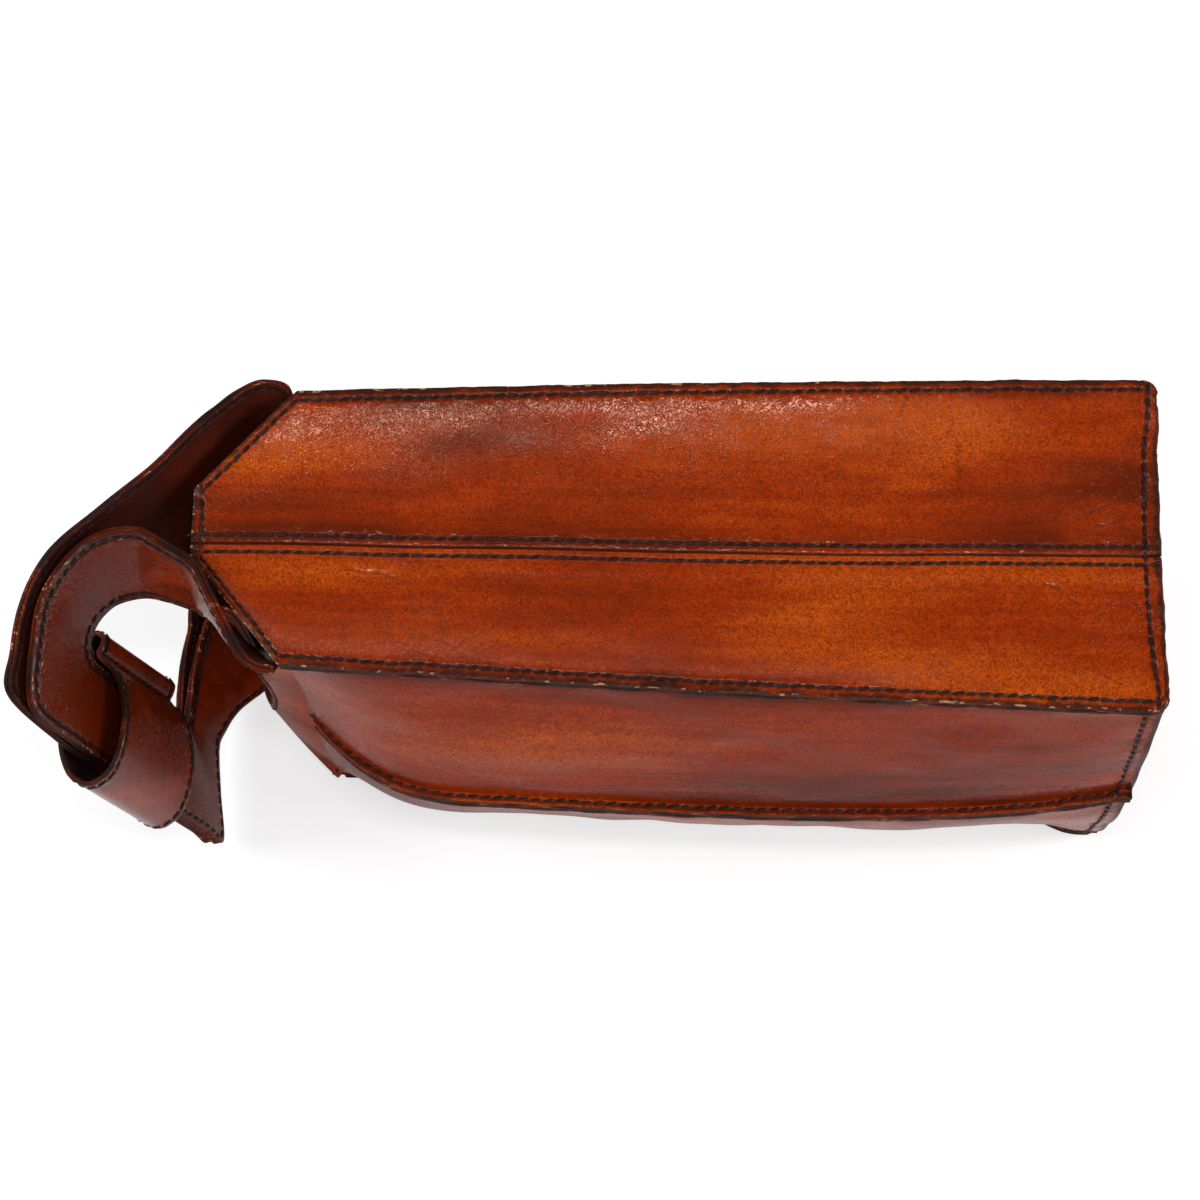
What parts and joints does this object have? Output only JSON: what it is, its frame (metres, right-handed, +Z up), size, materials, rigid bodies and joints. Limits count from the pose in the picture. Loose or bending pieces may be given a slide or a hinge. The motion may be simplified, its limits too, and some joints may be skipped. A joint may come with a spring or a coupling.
{
  "type": "leather wine bottle carrier",
  "caption": "Tall leather carrier for two wine bottles, with a wall between them, pointed gussets and a pair of looped handles held in a grip sleeve, lying on its side.",
  "frame": {"origin": "the middle of the base's outer face, level with the ridge seams", "axes": "+X points out of the base, so the mouth and the handles are at -X; +Z is up as the carrier lies on one gusset; -Y is the broad side that the handles have flopped over"},
  "size_m": [0.3671, 0.1286, 0.1585],
  "materials": {
    "cognac_leather": "hand-stained and waxed, soft gloss",
    "dark_leather": "hand-stained and waxed, soft gloss",
    "lining_leather": "unwaxed flesh side, matt",
    "seam_strip": "matt",
    "base_board": "pressed board, matt"
  },
  "bodies": {
    "bag": {"upper_gusset_near_half": "cognac_leather", "upper_gusset_far_half": "cognac_leather", "lower_gusset_near_half": "cognac_leather", "lower_gusset_far_half": "cognac_leather", "near_panel_upper_half": "dark_leather", "near_panel_lower_half": "dark_leather", "far_panel_upper_half": "cognac_leather", "far_panel_lower_half": "cognac_leather", "upper_seam_strip": "seam_strip", "lower_seam_strip": "seam_strip", "bottle_divider": "lining_leather", "base_panel": "cognac_leather", "base_board": "base_board", "near_handle_fold": "dark_leather", "far_handle_fold": "dark_leather"},
    "handles": {"near_handle": "dark_leather", "near_handle_lining": "dark_leather", "far_handle": "dark_leather", "far_handle_lining": "dark_leather", "grip_sleeve": "dark_leather"}
  },
  "joints": [
    {"name": "handles_flex", "type": "hinge", "parent": "bag", "child": "handles", "pos_m": [-0.272, 0, 0], "axis": [0, 0, -1], "range_deg": [-2, 20], "deforming": ["near_handle_fold", "far_handle_fold"]}
  ]
}
